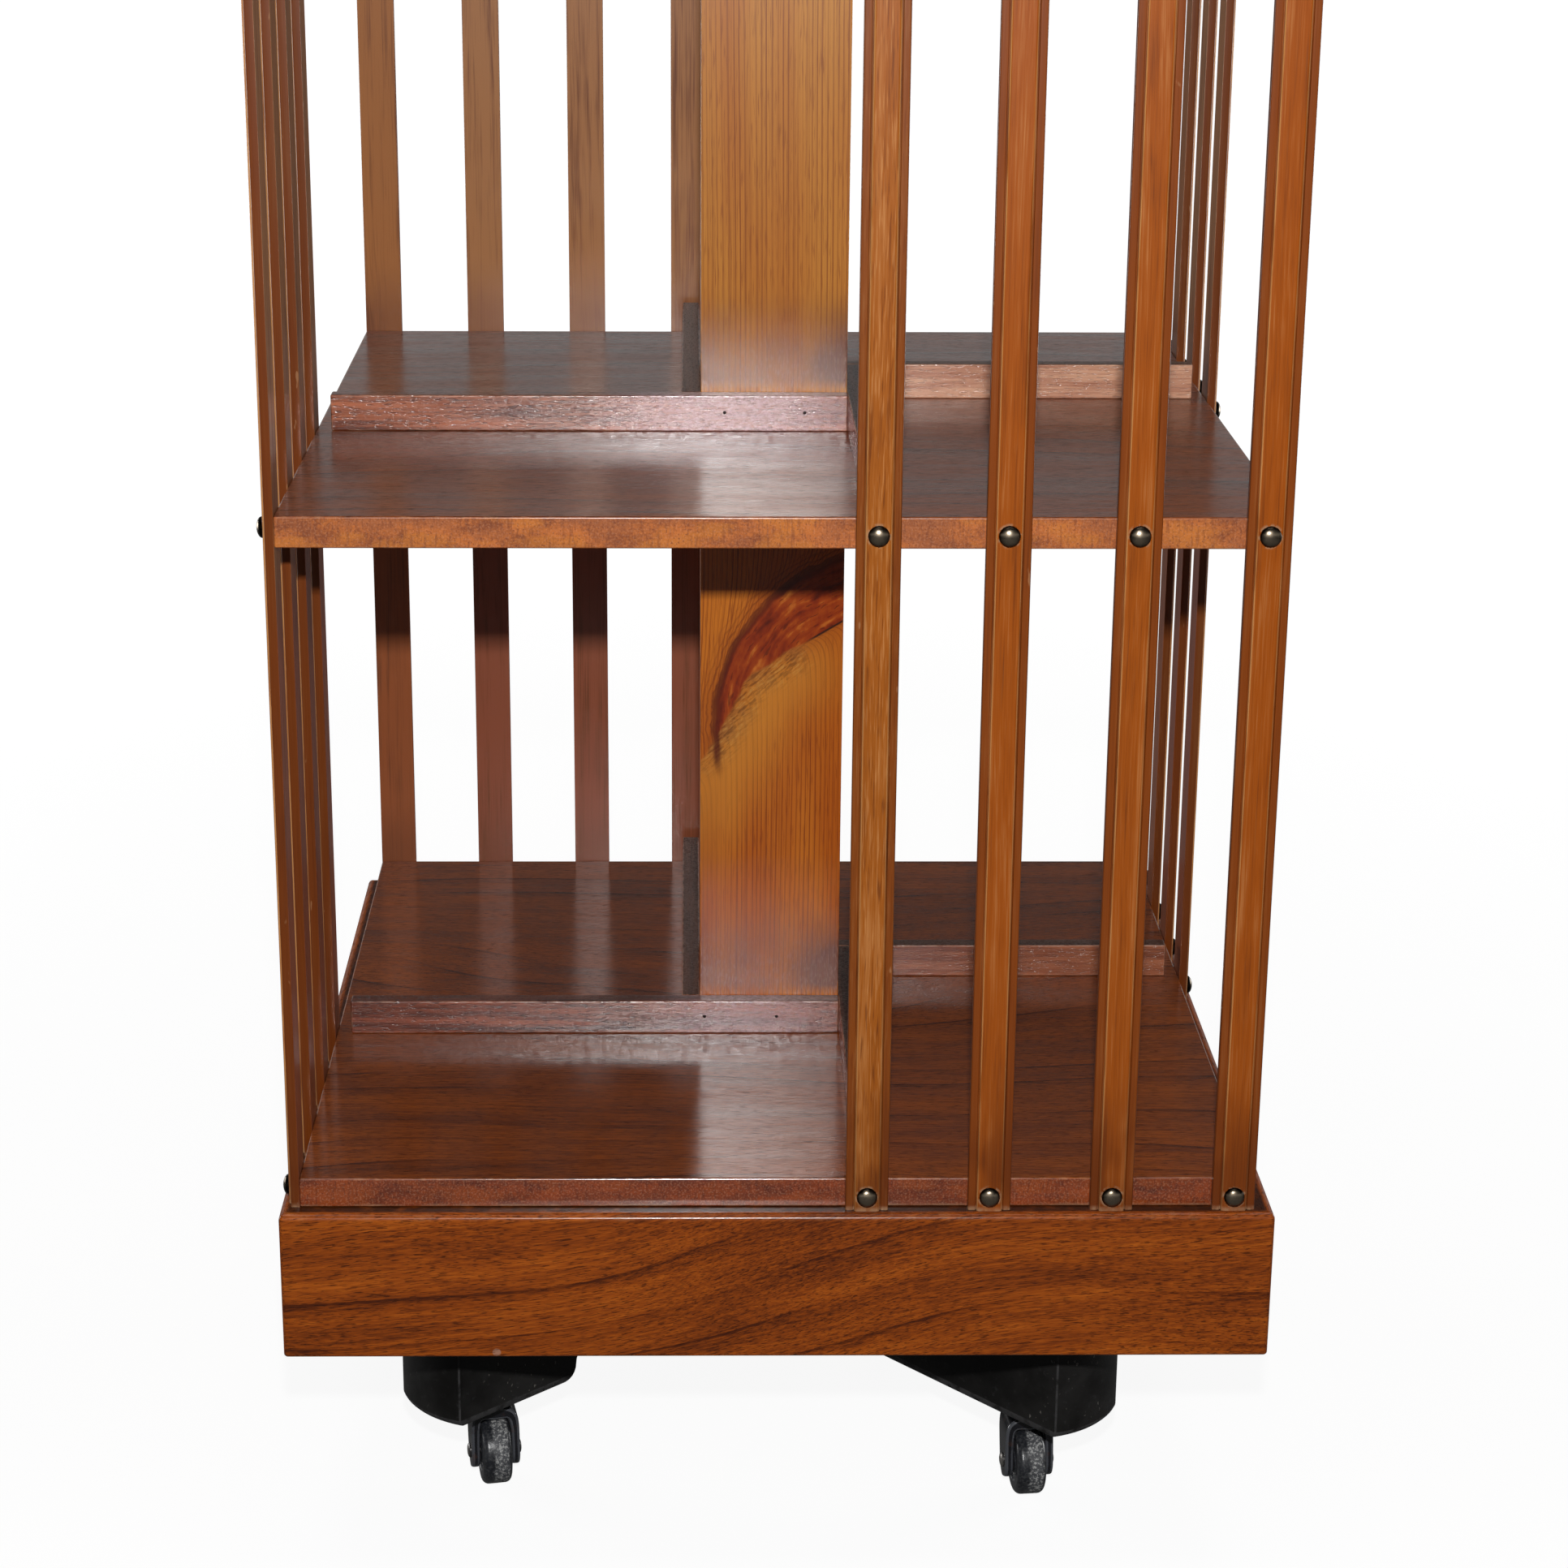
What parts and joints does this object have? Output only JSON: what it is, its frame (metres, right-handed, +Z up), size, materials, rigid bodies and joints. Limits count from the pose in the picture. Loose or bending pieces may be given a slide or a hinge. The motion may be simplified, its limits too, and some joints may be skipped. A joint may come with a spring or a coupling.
{
  "type": "revolving bookcase",
  "caption": "Square revolving bookcase: open tiers with moulded slats in a pinwheel round a hollow column, turning on a cross base with casters.",
  "frame": {"origin": "on the floor, under the pole that the case turns on", "axes": "+Z up, -Y to the front, which is the side pictured, +X to that side's right"},
  "size_m": [0.532, 0.532, 0.9],
  "materials": {
    "case_walnut": "polished walnut, satin with worn edges",
    "slat_wood": "stained hardwood mouldings, satin varnish",
    "stop_wood": "stained open-pored hardwood, satin",
    "column_pine": "golden stained softwood, satin",
    "block_wood": "raw softwood, matt",
    "cross_black": "black painted wood, matt with slight edge wear",
    "caster_iron": "black painted iron, worn satin",
    "wheel_black": "black wheel with a worn grey tread",
    "fitting_iron": "dark cast iron, matt",
    "pole_steel": "drawn steel, dull",
    "nail_bronze": "antique bronze, darkened round the rim"
  },
  "bodies": {
    "base": {"lower_cross_beam": "cross_black", "upper_cross_beam": "cross_black", "pole_nut": "fitting_iron", "pole_flange": "fitting_iron", "flange_screws": "pole_steel", "pole": "pole_steel", "caster_sockets": "caster_iron"},
    "case": {"plinth_rail_front": "case_walnut", "plinth_rail_right": "case_walnut", "plinth_rail_back": "case_walnut", "plinth_rail_left": "case_walnut", "plinth_glue_blocks": "block_wood", "bottom_shelf": "case_walnut", "guide_bush": "fitting_iron", "lower_column_boards": "column_pine", "upper_column_boards": "column_pine", "lower_book_stop_front": "stop_wood", "lower_book_stop_right": "stop_wood", "lower_book_stop_back": "stop_wood", "lower_book_stop_left": "stop_wood", "upper_book_stop_front": "stop_wood", "upper_book_stop_right": "stop_wood", "upper_book_stop_back": "stop_wood", "upper_book_stop_left": "stop_wood", "middle_shelf": "case_walnut", "case_top": "case_walnut", "thrust_cup": "fitting_iron", "fitting_screws": "pole_steel", "front_slat_1": "slat_wood", "front_slat_2": "slat_wood", "front_slat_3": "slat_wood", "front_slat_4": "slat_wood", "right_slat_1": "slat_wood", "right_slat_2": "slat_wood", "right_slat_3": "slat_wood", "right_slat_4": "slat_wood", "back_slat_1": "slat_wood", "back_slat_2": "slat_wood", "back_slat_3": "slat_wood", "back_slat_4": "slat_wood", "left_slat_1": "slat_wood", "left_slat_2": "slat_wood", "left_slat_3": "slat_wood", "left_slat_4": "slat_wood", "slat_nails": "nail_bronze", "top_board": "case_walnut", "top_board_screws": "pole_steel"},
    "fork_front_right": {"caster_fork_front_right": "caster_iron", "caster_axle_front_right": "pole_steel"},
    "wheel_front_right": {"caster_wheel_front_right": "wheel_black"},
    "fork_back_right": {"caster_fork_back_right": "caster_iron", "caster_axle_back_right": "pole_steel"},
    "wheel_back_right": {"caster_wheel_back_right": "wheel_black"},
    "fork_back_left": {"caster_fork_back_left": "caster_iron", "caster_axle_back_left": "pole_steel"},
    "wheel_back_left": {"caster_wheel_back_left": "wheel_black"},
    "fork_front_left": {"caster_fork_front_left": "caster_iron", "caster_axle_front_left": "pole_steel"},
    "wheel_front_left": {"caster_wheel_front_left": "wheel_black"}
  },
  "joints": [
    {"name": "case_spin", "type": "hinge", "parent": "base", "child": "case", "pos_m": [0, 0, 0.2095], "axis": [0, 0, 1], "continuous": true},
    {"name": "fork_swivel_front_right", "type": "hinge", "parent": "base", "child": "fork_front_right", "pos_m": [0.13917, -0.15188, 0.052], "axis": [0, 0, 1], "continuous": true},
    {"name": "wheel_roll_front_right", "type": "hinge", "parent": "fork_front_right", "child": "wheel_front_right", "pos_m": [0.13956, -0.15586, 0.019], "axis": [0.9954, 0.0958, 0], "continuous": true},
    {"name": "fork_swivel_back_right", "type": "hinge", "parent": "base", "child": "fork_back_right", "pos_m": [0.15188, 0.13917, 0.052], "axis": [0, 0, 1], "continuous": true},
    {"name": "wheel_roll_back_right", "type": "hinge", "parent": "fork_back_right", "child": "wheel_back_right", "pos_m": [0.15288, 0.1353, 0.019], "axis": [0.9681, 0.2504, 0], "continuous": true},
    {"name": "fork_swivel_back_left", "type": "hinge", "parent": "base", "child": "fork_back_left", "pos_m": [-0.13917, 0.15188, 0.052], "axis": [0, 0, 1], "continuous": true},
    {"name": "wheel_roll_back_left", "type": "hinge", "parent": "fork_back_left", "child": "wheel_back_left", "pos_m": [-0.13976, 0.14792, 0.019], "axis": [0.989, -0.1478, 0], "continuous": true},
    {"name": "fork_swivel_front_left", "type": "hinge", "parent": "base", "child": "fork_front_left", "pos_m": [-0.15188, -0.13917, 0.052], "axis": [0, 0, 1], "continuous": true},
    {"name": "wheel_roll_front_left", "type": "hinge", "parent": "fork_front_left", "child": "wheel_front_left", "pos_m": [-0.15115, -0.14311, 0.019], "axis": [0.9833, 0.1822, 0], "continuous": true}
  ]
}
